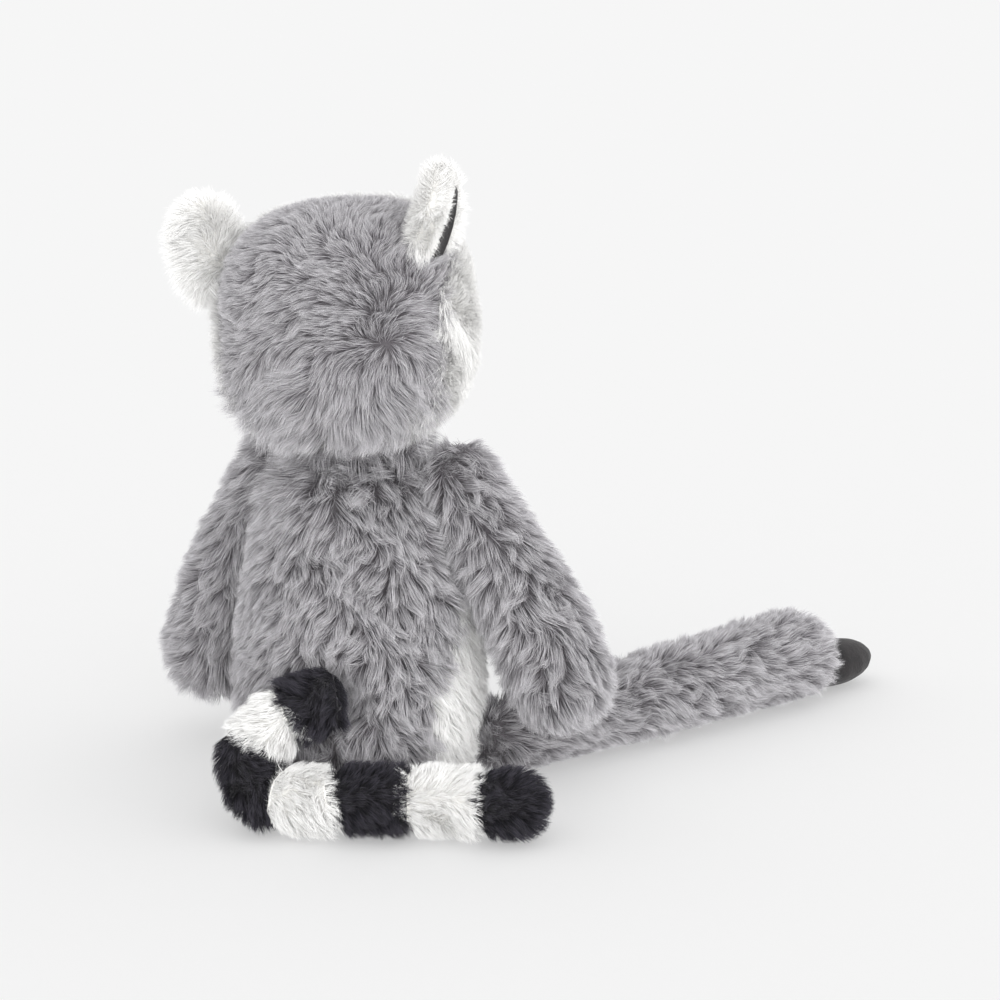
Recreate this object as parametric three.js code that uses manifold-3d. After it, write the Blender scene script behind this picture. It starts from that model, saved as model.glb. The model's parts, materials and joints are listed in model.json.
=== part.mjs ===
// A sitting long-limbed plush lemur with a ringed tail, built from its sewn panels, fillings and
// plastic safety eyes. Millimetres, +Z up, the toy faces -Y, and the origin is the centre of the
// flat underside of the seat. Each soft piece is a solid that includes most of its pile.
import * as THREE from 'three';
import { mergeVertices } from 'three/addons/utils/BufferGeometryUtils.js';
import Module from 'manifold-3d';

const wasm = await Module();
wasm.setup();

// ---- Driving dimensions ----
const GAP = 0.4;
const SEAM_HALF_GAP = 0.25;

const TORSO_PROFILE = [[40, 0], [46, 9], [49, 26], [49, 48], [47, 68], [44, 88], [41, 104],
  [37, 118], [30, 128.5], [17, 135.2], [0, 137]];
const TORSO_DEPTH_RATIO = 0.96;
const TORSO_WALL = 8;
const SEAT_THICKNESS = 5;
const BEAN_BAG_TOP = 30;
const BACK_SEAM = [[90, -10], [22, -10], [22, 45], [0, 80], [-6, 110], [-6, 170], [90, 170]];

const NECK_PIVOT = [0, 0, 138];
const NECK_BALL_RADIUS = 12;
const HEAD_TURN = 13;
const HEAD_TILT = 5;
const HEAD_CENTRE = [0, -2, 48.2];
const HEAD_RADII = [48.5, 47, 47];
const HEAD_WALL = 8;
const FACE_SEAM = [[-90, -30], [20, -30], [20, 57], [-35, 102], [-35, 130], [-90, 130]];

const EYE_BEARING = 25;
const EYE_ELEVATION = 6;
const EYE_RADIUS = 5.2;
const EYE_STEM_RADIUS = 1.6;
const EYE_STEM_LENGTH = 15.4;
const EYE_PATCH_RADIUS = 11.5;
const EYE_PATCH_THICKNESS = 2.6;
const WASHER_RADIUS = 6;
const WASHER_THICKNESS = 1.6;
const WASHER_SINK = 0.8;
const MUZZLE_CENTRE = [0, -46, -12];
const MUZZLE_RADII = [16, 15, 12.5];
const NOSE_CENTRE = [0, -60, -7.5];
const NOSE_RADII = [5.4, 4, 4.2];

const EAR_WIDTH = 27;
const EAR_HEIGHT = 39;
const EAR_THICKNESS = 9;
const EAR_INNER_THICKNESS = 2;
const EAR_HEAD_CLEARANCE = 2.2;
const EARS = {
  left: { centre: [52, 7.5, 31.5], lean: 12, turn: 28 },
  right: { centre: [-41, 15.5, 40.5], lean: -20, turn: -95 },
};

const ARM_LEFT = [[38, -9, 125], [53, -10, 97], [67.5, -13, 66], [77, -14, 38]];
const ARM_RIGHT = [[-38, -9, 125], [-54, -11, 98], [-69.5, -16, 70], [-78, -20, 46]];
const ARM_RADII = [[0, 16], [0.25, 17], [0.6, 19], [0.85, 20.3], [1, 20]];
const LEG_LEFT = [[42, -34, 16.5], [51, -64, 17], [69, -126, 18.6], [84, -180, 19.6]];
const LEG_RIGHT = [[-52, -24, 16.5], [-66, -52, 17], [-96, -109, 18.6], [-122, -162, 19.6]];
const LEG_RADII = [[0, 15.6], [0.2, 16.2], [0.6, 17.8], [1, 18.8]];
const LIMB_WALL = 5;
const LIMB_OPENING_RADIUS = 4;
const SHOULDER_SWING = [-35, -15, 0, 10];
const HIP_SWING = [-15, 0, 15];
const SWING_CLEARANCE = 1.6;
const TAIL_ROOT_CLEARANCE = 2.6;
const PALM_RADIUS = 10;
const PALM_THICKNESS = 2;
const PALM_LEFT_DIRECTION = [-0.62, -0.6, -0.5];
const PALM_RIGHT_DIRECTION = [0.72, -0.42, -0.3];
const FOOT_RADII = [12, 22, 10];
const FOOT_CENTRE_PAST_LEG = 25;
const FOOT_AXIS_HEIGHT = 11;

const TAIL_PATH = [[-15, 48, 47], [-6, 55, 46], [3, 62.5, 40], [9.5, 70, 28], [5, 73.6, 18.2],
  [-9, 72.6, 14.8],
  [-34, 62.2, 15.2], [-60, 51.5, 15.2], [-88, 41, 15.2]];
const TAIL_RADIUS = 12.6;
const TAIL_WALL = 5;
const TAIL_RING_ENDS = [0, 0.12, 0.235, 0.395, 0.545, 0.725, 0.905, 1];
const TAIL_SEAM_GAP = 2.8;
const TAIL_LOOP_SEAM_GAP = 1.4;
const TAIL_LOOP_RINGS = 3;

const SEGMENTS = { torso: 26, head: 26, limb: 14, inner: 10, tail: 14, small: 16 };

// ---- Materials, one short function for each cloth or plastic ----
const cloth = (color, roughness = 0.95) => new THREE.MeshStandardMaterial({ color, roughness, metalness: 0 });
const greyPlush = () => cloth(0x9b999e);
const whitePlush = () => cloth(0xeceae4);
const blackPlush = () => cloth(0x211f27);
const blackVelour = () => cloth(0x1e1b1c, 0.9);
const filling = () => cloth(0xf4f3ee);
const pelletBag = () => cloth(0xdcd8cc, 0.8);
const blackPlastic = () => new THREE.MeshStandardMaterial({ color: 0x0d0b0b, roughness: 0.15, metalness: 0 });
const clearWhitePlastic = () => new THREE.MeshStandardMaterial({
  color: 0xe6e6e2, roughness: 0.4, metalness: 0,
});

// ---- Solids and booleans ----
function solidOf(geometry) {
  const plain = geometry.index ? geometry.toNonIndexed() : geometry.clone();
  plain.deleteAttribute('normal');
  plain.deleteAttribute('uv');
  const merged = mergeVertices(plain, 1e-4);
  const triangles = [];
  for (let i = 0; i < merged.index.count; i += 3) {
    const corners = [0, 1, 2].map((k) => merged.index.getX(i + k));
    if (new Set(corners).size === 3) triangles.push(...corners);
  }
  const vertProperties = merged.attributes.position.array;
  const mesh = { numProp: 3, vertProperties, triVerts: new Uint32Array(triangles) };
  return new wasm.Manifold(new wasm.Mesh(mesh));
}

function geometryOf(solid) {
  const mesh = solid.getMesh();
  const geometry = new THREE.BufferGeometry();
  geometry.setAttribute('position', new THREE.BufferAttribute(new Float32Array(mesh.vertProperties), 3));
  geometry.setIndex(new THREE.BufferAttribute(new Uint32Array(mesh.triVerts), 1));
  geometry.computeVertexNormals();
  return geometry;
}

function named(name, solid, material) {
  const mesh = new THREE.Mesh(geometryOf(solid), material);
  mesh.name = name;
  return mesh;
}

const grown = (radii, by) => radii.map((r) => r + by);

function ellipsoid(centre, radii, around, rows) {
  const geometry = new THREE.SphereGeometry(1, around, rows);
  geometry.rotateX(Math.PI / 2);
  geometry.scale(...radii);
  geometry.translate(...centre);
  return solidOf(geometry);
}

const ball = (centre, radius, around = 16, rows = 10) =>
  ellipsoid(centre, [radius, radius, radius], around, rows);

function box(from, to) {
  const size = to.map((v, i) => v - from[i]);
  const geometry = new THREE.BoxGeometry(...size);
  geometry.translate(...from.map((v, i) => v + size[i] / 2));
  return solidOf(geometry);
}

// A turned solid about an axis that starts at a point and runs along a direction.
function turned(profile, from, direction, around = SEGMENTS.small) {
  const geometry = new THREE.LatheGeometry(profile.map(([r, h]) => new THREE.Vector2(r, h)), around);
  const spin = new THREE.Quaternion().setFromUnitVectors(
    new THREE.Vector3(0, 1, 0), new THREE.Vector3(...direction).normalize());
  geometry.applyQuaternion(spin);
  geometry.translate(...from);
  return solidOf(geometry);
}

const rod = (from, direction, radius, length, around) => turned(
  [[0, 0], [radius, 0], [radius, length], [0, length]], from, direction, around);

// What lies inside an outline of (y, z) points, right across the toy. The shift moves it along Y.
function seamPrism(outline, shift) {
  const shape = new THREE.Shape(outline.map(([y, z]) => new THREE.Vector2(y + shift, z)));
  const geometry = new THREE.ExtrudeGeometry(shape, { depth: 160, bevelEnabled: false });
  const axes = [[0, 1, 0], [0, 0, 1], [1, 0, 0]].map((v) => new THREE.Vector3(...v));
  geometry.applyMatrix4(new THREE.Matrix4().makeBasis(...axes));
  geometry.translate(-80, 0, 0);
  return outward(solidOf(geometry), geometry);
}

// ---- Torso ----
function torsoSolid(inset, around, low) {
  const shrink = ([r, z]) => [Math.max(r - inset, 0), z > 100 ? z - (inset * (z - 100)) / 37 : z];
  const curve = new THREE.SplineCurve(TORSO_PROFILE.map(shrink).map(([r, z]) => new THREE.Vector2(r, z)));
  const rows = curve.getPoints(inset > 0 ? 9 : 15);
  rows[rows.length - 1].x = 0;
  const outside = rows.map((p) => new THREE.Vector2(Math.max(p.x, 0), p.y));
  const profile = [new THREE.Vector2(0, rows[0].y), ...outside];
  const geometry = new THREE.LatheGeometry(profile, around);
  geometry.rotateX(Math.PI / 2);
  geometry.scale(1, TORSO_DEPTH_RATIO, 1);
  const above = box([-90, -90, low], [90, 90, 160]);
  return solidOf(geometry).intersect(above);
}

const NECK_SOCKET = () => ball(NECK_PIVOT, NECK_BALL_RADIUS + 0.6);

// The room a limb needs in the body: the limb a little larger, turned through its whole swing.
function swingRoom(path, table, axis, angles) {
  const pivot = new THREE.Vector3(...path[0]);
  const turns = angles.map((angle) => {
    const turn = new THREE.Quaternion().setFromAxisAngle(axis, THREE.MathUtils.degToRad(angle));
    const turned = (p) => new THREE.Vector3(...p).sub(pivot).applyQuaternion(turn).add(pivot).toArray();
    const turnedPath = path.map(turned);
    return bentSolid(turnedPath, sausage(table, SWING_CLEARANCE, 4), SEGMENTS.limb - 2);
  });
  return turns.reduce((left, right) => left.add(right));
}

function torsoSockets() {
  const sideways = new THREE.Vector3(1, 0, 0);
  const upright = new THREE.Vector3(0, 0, 1);
  const arms = [ARM_LEFT, ARM_RIGHT].map((p) => swingRoom(p, ARM_RADII, sideways, SHOULDER_SWING));
  const legs = [LEG_LEFT, LEG_RIGHT].map((p) => swingRoom(p, LEG_RADII, upright, HIP_SWING));
  const radius = TAIL_RADIUS + TAIL_ROOT_CLEARANCE;
  const tail = bentSolid(TAIL_PATH.slice(0, 3), sausage([[0, radius], [1, radius]], 0, 3), SEGMENTS.tail);
  return [NECK_SOCKET(), ...arms, ...legs, tail];
}

function buildTorso() {
  const sockets = torsoSockets();
  const cut = (solid) => sockets.reduce((left, socket) => left.subtract(socket), solid);
  const outer = torsoSolid(0, SEGMENTS.torso, SEAT_THICKNESS + GAP);
  const inner = torsoSolid(TORSO_WALL, SEGMENTS.inner * 2, -1);
  const shell = cut(outer.subtract(inner));
  const back = shell.intersect(seamPrism(BACK_SEAM, 0.3));
  const belly = shell.subtract(seamPrism(BACK_SEAM, -0.3));
  const seat = torsoSolid(0, SEGMENTS.torso, -1).intersect(box([-90, -90, -1], [90, 90, SEAT_THICKNESS]));
  const core = cut(torsoSolid(TORSO_WALL + GAP, SEGMENTS.inner * 2, SEAT_THICKNESS + GAP));
  const bag = core.intersect(box([-90, -90, 0], [90, 90, BEAN_BAG_TOP]));
  const stuffing = core.intersect(box([-90, -90, BEAN_BAG_TOP + GAP], [90, 90, 160]));
  const group = new THREE.Group();
  group.add(named('back_panel', largest(back), greyPlush()));
  group.add(named('belly_panel', largest(belly), whitePlush()));
  group.add(named('seat_panel', cut(seat), greyPlush()));
  group.add(named('torso_stuffing', largest(stuffing), filling()));
  group.add(named('seat_pellet_bag', largest(bag), pelletBag()));
  return group;
}

// The biggest of the separate pieces that a cut leaves, so that slivers go.
function largest(solid) {
  return solid.decompose().sort((a, b) => b.volume() - a.volume())[0];
}

// ---- Head, in its own frame with the neck pivot at its origin ----
const headSolid = (by, around = SEGMENTS.head) =>
  ellipsoid(HEAD_CENTRE, grown(HEAD_RADII, by), around, Math.round(around * 0.6));

function headPoint(direction, by) {
  const d = new THREE.Vector3(...direction).normalize();
  const [rx, ry, rz] = grown(HEAD_RADII, by);
  const reach = 1 / Math.hypot(d.x / rx, d.y / ry, d.z / rz);
  return [HEAD_CENTRE[0] + d.x * reach, HEAD_CENTRE[1] + d.y * reach, HEAD_CENTRE[2] + d.z * reach];
}

function eyeDirection(side) {
  const bearing = THREE.MathUtils.degToRad(EYE_BEARING);
  const rise = THREE.MathUtils.degToRad(EYE_ELEVATION);
  return [side * Math.sin(bearing) * Math.cos(rise), -Math.cos(bearing) * Math.cos(rise), Math.sin(rise)];
}

function eyeParts(side) {
  const out = eyeDirection(side);
  const inward = out.map((v) => -v);
  const seat = headPoint(out, EYE_PATCH_THICKNESS + 2 * GAP);
  const stemSteps = [[0, -EYE_STEM_LENGTH], [EYE_STEM_RADIUS, -EYE_STEM_LENGTH], [EYE_STEM_RADIUS, 0]];
  const domeSteps = [0, 1, 2, 3, 4].map((i) => {
    const angle = (i / 4) * (Math.PI / 2);
    return [EYE_RADIUS * Math.cos(angle), 0.4 + EYE_RADIUS * 0.8 * Math.sin(angle)];
  });
  domeSteps[4][0] = 0;
  const eye = turned([...stemSteps, [EYE_RADIUS - 0.4, 0], ...domeSteps], seat, out, 14);
  const stemHole = rod(headPoint(out, 6), inward, EYE_STEM_RADIUS + GAP, 30, 10);
  const patch = headSolid(EYE_PATCH_THICKNESS + GAP).subtract(headSolid(GAP))
    .intersect(rod(headPoint(out, -8), out, EYE_PATCH_RADIUS, 30, 18)).subtract(stemHole);
  const washerAt = headPoint(out, -HEAD_WALL - WASHER_THICKNESS - WASHER_SINK - 2 * GAP);
  const washer = rod(washerAt, out, WASHER_RADIUS, WASHER_THICKNESS, 14).subtract(stemHole);
  const washerBack = headPoint(out, -HEAD_WALL - WASHER_THICKNESS - 3 * GAP - 4);
  const washerRoom = rod(washerBack, out, WASHER_RADIUS + GAP, 12, 14);
  const stemRoom = rod(headPoint(out, 6), inward, EYE_STEM_RADIUS + GAP, EYE_STEM_LENGTH + 8, 10);
  return { eye, patch, washer, stemHole, washerRoom, stemRoom };
}

function buildHead() {
  const eyes = [['left', eyeParts(1)], ['right', eyeParts(-1)]];
  const socket = ball([0, 0, 0], NECK_BALL_RADIUS + 0.6);
  const shell = headSolid(0).subtract(headSolid(-HEAD_WALL, SEGMENTS.inner * 2)).subtract(socket);
  const back = largest(shell.subtract(seamPrism(FACE_SEAM, 0.3)));
  const face = largest(eyes.reduce((left, [, e]) => left.subtract(e.stemHole),
    shell.intersect(seamPrism(FACE_SEAM, -0.3))));
  const stuffing = eyes.reduce((left, [, e]) => left.subtract(e.washerRoom).subtract(e.stemRoom),
    headSolid(-HEAD_WALL - GAP, SEGMENTS.inner * 2).subtract(socket));
  const midline = box([-SEAM_HALF_GAP, -90, -20], [SEAM_HALF_GAP, 90, 120]);
  const leftSide = box([0, -90, -20], [90, 90, 120]);
  const splitBack = back.subtract(midline);
  const muzzleAt = [MUZZLE_CENTRE[0], MUZZLE_CENTRE[1], HEAD_CENTRE[2] + MUZZLE_CENTRE[2]];
  const muzzle = ellipsoid(muzzleAt, MUZZLE_RADII, 20, 12)
    .subtract(headSolid(GAP)).subtract(headSolid(-20));
  const noseAt = [NOSE_CENTRE[0], NOSE_CENTRE[1], HEAD_CENTRE[2] + NOSE_CENTRE[2]];
  const muzzleGrown = ellipsoid([MUZZLE_CENTRE[0], MUZZLE_CENTRE[1], HEAD_CENTRE[2] + MUZZLE_CENTRE[2]],
    grown(MUZZLE_RADII, GAP), 20, 12);
  const nose = ellipsoid(noseAt, NOSE_RADII, 14, 8).subtract(muzzleGrown);
  const group = new THREE.Group();
  group.add(named('head_left_panel', largest(splitBack.intersect(leftSide)), greyPlush()));
  group.add(named('head_right_panel', largest(splitBack.subtract(leftSide)), greyPlush()));
  group.add(named('face_panel', face, whitePlush()));
  group.add(named('head_stuffing', largest(stuffing), filling()));
  group.add(named('muzzle_panel', largest(muzzle), whitePlush()));
  group.add(named('nose', largest(nose), blackPlastic()));
  for (const [side, e] of eyes) {
    group.add(named(`eye_patch_${side}`, largest(e.patch.subtract(muzzleGrown)), blackPlush()));
    group.add(named(`eye_${side}`, e.eye, blackPlastic()));
    group.add(named(`eye_washer_${side}`, e.washer, clearWhitePlastic()));
  }
  group.add(buildEar('left'));
  group.add(buildEar('right'));
  group.position.set(...NECK_PIVOT);
  group.rotation.set(0, THREE.MathUtils.degToRad(HEAD_TILT), THREE.MathUtils.degToRad(HEAD_TURN));
  return group;
}

// ---- Ears: a leaf of white plush with a velour lining, standing on a round base edge ----
function earOutline(width, height) {
  const half = width / 2;
  const shape = new THREE.Shape();
  shape.moveTo(-half * 0.62, 0);
  shape.bezierCurveTo(-half * 1.25, height * 0.35, -half * 1.15, height * 0.95, -half * 0.1, height);
  shape.bezierCurveTo(half * 1.1, height * 0.95, half * 1.25, height * 0.35, half * 0.62, 0);
  shape.closePath();
  return shape;
}

function earPlate(width, height, thickness, bevel, front) {
  const options = {
    depth: thickness - 2 * bevel,
    bevelEnabled: bevel > 0,
    bevelSize: bevel,
    bevelThickness: bevel,
    bevelSegments: 2,
    bevelOffset: -bevel,
    curveSegments: 6,
  };
  const geometry = new THREE.ExtrudeGeometry(earOutline(width, height), options);
  geometry.rotateX(Math.PI / 2);
  geometry.translate(0, front + thickness - bevel, 0);
  return solidOf(geometry);
}

// The ear is laid out round its own middle, turned into place, and trimmed to clear the head.
function buildEar(side) {
  const { centre, lean, turn } = EARS[side];
  const half = EAR_THICKNESS / 2;
  const leaf = earPlate(EAR_WIDTH, EAR_HEIGHT, EAR_THICKNESS, 3, -half);
  const lining = earPlate(EAR_WIDTH * 0.62, EAR_HEIGHT * 0.72, EAR_INNER_THICKNESS, 0.5,
    -half - GAP - EAR_INNER_THICKNESS);
  const place = (solid, lift) => {
    const geometry = geometryOf(solid);
    geometry.translate(0, 0, lift - EAR_HEIGHT / 2);
    geometry.rotateZ(THREE.MathUtils.degToRad(turn));
    geometry.rotateY(THREE.MathUtils.degToRad(lean));
    geometry.translate(...centre.map((v, i) => v + HEAD_CENTRE[i]));
    return largest(solidOf(geometry).subtract(headSolid(EAR_HEAD_CLEARANCE)));
  };
  const group = new THREE.Group();
  group.add(named(`ear_${side}_back`, place(leaf, 0), whitePlush()));
  group.add(named(`ear_${side}_lining`, place(lining, EAR_HEIGHT * 0.12), blackVelour()));
  return group;
}

// ---- Limbs and tail: turned solids bent along a smooth path ----
const FRAMES = 72;

function smoothRadius(table, u) {
  let i = 0;
  while (i < table.length - 2 && u > table[i + 1][0]) i += 1;
  const t = THREE.MathUtils.clamp((u - table[i][0]) / (table[i + 1][0] - table[i][0]), 0, 1);
  return THREE.MathUtils.lerp(table[i][1], table[i + 1][1], t * t * (3 - 2 * t));
}

function bentSolid(path, profile, around) {
  const curve = new THREE.CatmullRomCurve3(path.map((p) => new THREE.Vector3(...p)), false, 'centripetal');
  const length = curve.getLength();
  const frames = curve.computeFrenetFrames(FRAMES, false);
  const geometry = new THREE.LatheGeometry(profile(length).map(([r, s]) => new THREE.Vector2(r, s)), around);
  const position = geometry.attributes.position;
  for (let i = 0; i < position.count; i += 1) {
    const along = position.getY(i);
    const held = THREE.MathUtils.clamp(along, 0, length);
    const k = Math.round((held / length) * FRAMES);
    const point = curve.getPointAt(held / length).addScaledVector(frames.tangents[k], along - held);
    point.addScaledVector(frames.normals[k], position.getX(i));
    point.addScaledVector(frames.binormals[k], position.getZ(i));
    position.setXYZ(i, point.x, point.y, point.z);
  }
  return outward(solidOf(geometry), geometry);
}

// A turned solid whose faces came out inside out is turned over.
function outward(solid, geometry) {
  if (solid.volume() > 0) return solid;
  const flipped = geometry.toNonIndexed();
  const p = flipped.attributes.position;
  for (let i = 0; i < p.count; i += 3) {
    const a = [p.getX(i), p.getY(i), p.getZ(i)];
    p.setXYZ(i, p.getX(i + 1), p.getY(i + 1), p.getZ(i + 1));
    p.setXYZ(i + 1, ...a);
  }
  return solidOf(flipped);
}

// A rounded sausage: both ends are domes of the local radius.
function sausage(table, by, rows, caps = 3) {
  return (length) => {
    const first = table[0][1] + by;
    const last = table[table.length - 1][1] + by;
    const profile = [];
    for (let i = 0; i < caps; i += 1) {
      const angle = (i / caps) * (Math.PI / 2);
      profile.push([first * Math.sin(angle), -first * Math.cos(angle)]);
    }
    for (let i = 0; i <= rows; i += 1) {
      profile.push([smoothRadius(table, i / rows) + by, (length * i) / rows]);
    }
    for (let i = 1; i <= caps; i += 1) {
      const angle = (i / caps) * (Math.PI / 2);
      profile.push([i === caps ? 0 : last * Math.cos(angle), length + last * Math.sin(angle)]);
    }
    return profile;
  };
}

function startDirection(path) {
  const [a, b] = path;
  return b.map((v, i) => v - a[i]);
}

function limbPieces(path, table) {
  const outer = bentSolid(path, sausage(table, 0, 7), SEGMENTS.limb);
  const inner = bentSolid(path, sausage(table, -LIMB_WALL, 5, 2), SEGMENTS.inner);
  const filler = bentSolid(path, sausage(table, -LIMB_WALL - 1, 5, 2), SEGMENTS.inner);
  const back = startDirection(path).map((v) => -v);
  const opening = rod(path[0], back, LIMB_OPENING_RADIUS, 30, 8);
  return { sleeve: outer.subtract(inner).subtract(opening), filler };
}

// A thin pad that follows a limb's surface round a direction from its end.
function surfacePad(path, table, direction, radius, thickness) {
  const over = bentSolid(path, sausage(table, thickness + GAP, 7), SEGMENTS.limb);
  const under = bentSolid(path, sausage(table, GAP, 7), SEGMENTS.limb);
  const end = path[path.length - 1];
  return largest(over.subtract(under).intersect(rod(end, direction, radius, 60, 16)));
}

function buildArm(side, path, palmDirection) {
  const { sleeve, filler } = limbPieces(path, ARM_RADII);
  const palm = surfacePad(path, ARM_RADII, palmDirection, PALM_RADIUS, PALM_THICKNESS);
  const group = new THREE.Group();
  group.add(named(`arm_${side}_sleeve`, sleeve, greyPlush()));
  group.add(named(`arm_${side}_stuffing`, filler, filling()));
  group.add(named(`palm_${side}`, palm, blackVelour()));
  return group;
}

function buildLeg(side, path) {
  const { sleeve, filler } = limbPieces(path, LEG_RADII);
  const [before, end] = path.slice(-2);
  const direction = new THREE.Vector3(end[0] - before[0], end[1] - before[1], 0).normalize();
  const pad = new THREE.SphereGeometry(1, 16, 10);
  pad.rotateX(Math.PI / 2);
  pad.scale(...FOOT_RADII);
  pad.rotateZ(Math.atan2(direction.y, direction.x) + Math.PI / 2);
  const footX = end[0] + direction.x * FOOT_CENTRE_PAST_LEG;
  const footY = end[1] + direction.y * FOOT_CENTRE_PAST_LEG;
  pad.translate(footX, footY, FOOT_AXIS_HEIGHT);
  const foot = largest(solidOf(pad).subtract(bentSolid(path, sausage(LEG_RADII, GAP, 7), SEGMENTS.limb)));
  const group = new THREE.Group();
  group.add(named(`leg_${side}_sleeve`, sleeve, greyPlush()));
  group.add(named(`leg_${side}_stuffing`, filler, filling()));
  group.add(named(`foot_${side}`, foot, blackVelour()));
  return group;
}

function tailRing(index) {
  const last = TAIL_RING_ENDS.length - 2;
  const gapAt = (seam) => (seam <= TAIL_LOOP_RINGS - 1 ? TAIL_LOOP_SEAM_GAP : TAIL_SEAM_GAP);
  const span = (length) => {
    const from = TAIL_RING_ENDS[index] * length + (index === 0 ? 0 : gapAt(index) / 2);
    const to = TAIL_RING_ENDS[index + 1] * length - (index === last ? 0 : gapAt(index + 1) / 2);
    return [from, to];
  };
  const rows = 3;
  const radius = TAIL_RADIUS;
  const inner = radius - TAIL_WALL;
  const rise = (from, to, r) =>
    Array.from({ length: rows + 1 }, (_, i) => [r, from + ((to - from) * i) / rows]);
  const tip = (r, to) => [1, 2, 3].map((i) => {
    const angle = (i / 3) * (Math.PI / 2);
    return [i === 3 ? 0 : r * Math.cos(angle), to + r * 0.75 * Math.sin(angle)];
  });
  const skin = bentSolid(TAIL_PATH, (length) => {
    const [from, to] = span(length);
    if (index === last) {
      const lining = [...tip(inner, to).reverse(), ...rise(from, to, inner).reverse()];
      return [...lining, ...rise(from, to, radius), ...tip(radius, to)];
    }
    const loop = [...rise(from, to, inner).reverse(), ...rise(from, to, radius)];
    return [...loop, loop[0]];
  }, SEGMENTS.tail);
  const core = bentSolid(TAIL_PATH, (length) => {
    const [from, to] = span(length);
    const r = inner - 1;
    const body = [[0, from], ...rise(from, to, r)];
    return index === last ? [...body, ...tip(r, to)] : [...body, [0, to]];
  }, SEGMENTS.inner);
  return { skin, core };
}

function buildTail() {
  const group = new THREE.Group();
  for (let i = 0; i < TAIL_RING_ENDS.length - 1; i += 1) {
    const { skin, core } = tailRing(i);
    group.add(named(`tail_ring_${i + 1}`, skin, i % 2 === 0 ? blackPlush() : whitePlush()));
    group.add(named(`tail_stuffing_${i + 1}`, core, filling()));
  }
  return group;
}

function buildNeck() {
  return named('neck_stuffing', ball(NECK_PIVOT, NECK_BALL_RADIUS), filling());
}

const group = new THREE.Group();
group.add(buildTorso());
group.add(buildNeck());
group.add(buildHead());
group.add(buildArm('left', ARM_LEFT, PALM_LEFT_DIRECTION));
group.add(buildArm('right', ARM_RIGHT, PALM_RIGHT_DIRECTION));
group.add(buildLeg('left', LEG_LEFT));
group.add(buildLeg('right', LEG_RIGHT));
group.add(buildTail());

export default group;
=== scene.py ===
import json
import math

import bmesh
import bpy
import numpy as np
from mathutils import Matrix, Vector, kdtree
from mathutils.bvhtree import BVHTree


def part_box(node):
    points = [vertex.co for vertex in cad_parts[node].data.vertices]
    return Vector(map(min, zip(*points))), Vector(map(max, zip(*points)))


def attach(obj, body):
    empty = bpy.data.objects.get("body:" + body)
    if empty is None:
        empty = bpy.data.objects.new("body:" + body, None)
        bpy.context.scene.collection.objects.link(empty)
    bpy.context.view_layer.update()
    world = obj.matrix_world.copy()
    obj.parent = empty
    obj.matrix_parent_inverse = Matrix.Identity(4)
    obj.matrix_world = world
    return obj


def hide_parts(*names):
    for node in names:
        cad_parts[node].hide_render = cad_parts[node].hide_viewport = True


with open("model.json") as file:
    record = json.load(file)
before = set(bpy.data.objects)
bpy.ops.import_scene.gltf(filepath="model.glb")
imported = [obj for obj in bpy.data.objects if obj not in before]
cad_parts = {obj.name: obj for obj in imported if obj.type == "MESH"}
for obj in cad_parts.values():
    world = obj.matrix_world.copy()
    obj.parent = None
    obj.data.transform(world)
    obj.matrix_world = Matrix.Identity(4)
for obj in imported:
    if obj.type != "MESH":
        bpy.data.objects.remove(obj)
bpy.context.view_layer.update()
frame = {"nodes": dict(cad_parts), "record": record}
NODES = frame["nodes"]
MM = 0.001

# ---- Driving values, in millimetres unless said ----
CAMERA_AZIMUTH = 206.0
CAMERA_ELEVATION = 15.0
CAMERA_DISTANCE = 1200.0
CAMERA_FOV = 19.1
CAMERA_TARGET = (55.5, 109.5)
FLOOR_CLEARANCE = 0.4
FLOOR_GLOW = 0.40
EAR_CURL_RADIUS = 15.0
EAR_LINING_MARGIN = 1.5
TAIL_END_REACH = 2.6
HEAD_POWER = 2.7
NECK_SPREAD = (1.9, 1.9, 0.75)
MOST_STRANDS = 36000
STRAND_STEPS = (0.0, 0.38, 0.74, 1.0)
STRAND_TAPER = (1.0, 0.9, 0.6)
STRAND_JITTER = 0.22
STRAY_SHARE = 0.07
SWIRL_WAVES = ((38, 0.55), (19, 0.45), (9, 0.30))
EYE_CLEARING = 6.0
NOSE_CLEARING = 6.5

# Pile: length and root width in mm, how upright it stands (0 lying, 1 upright), strands per square mm,
# how far strands draw together into locks, strands to a lock, and how far the locks scatter in radians.
PILE = {
    "grey": dict(length=12.5, stand=0.66, density=3.6, width=0.22, clump=0.62, per_clump=48, ruffle=0.8),
    "head": dict(length=9.5, stand=0.52, density=4.4, width=0.20, clump=0.50, per_clump=34, ruffle=0.45),
    "white": dict(length=11.0, stand=0.55, density=3.6, width=0.24, clump=0.45, per_clump=40, ruffle=0.5),
    "face": dict(length=8.0, stand=0.50, density=4.8, width=0.24, clump=0.35, per_clump=26, ruffle=0.3),
    "muzzle": dict(length=3.6, stand=0.42, density=5.5, width=0.20, clump=0.3, per_clump=20, ruffle=0.2),
    "patch": dict(length=4.2, stand=0.38, density=5.5, width=0.22, clump=0.35, per_clump=20, ruffle=0.2),
    "ear": dict(length=9.0, stand=0.62, density=7.5, width=0.22, clump=0.35, per_clump=30, ruffle=0.4),
    "tail_white": dict(length=8.5, stand=0.66, density=5.2, width=0.24, clump=0.45, per_clump=36, ruffle=0.45),
    "tail_black": dict(length=8.5, stand=0.66, density=4.6, width=0.24, clump=0.50, per_clump=40, ruffle=0.5),
}


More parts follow.
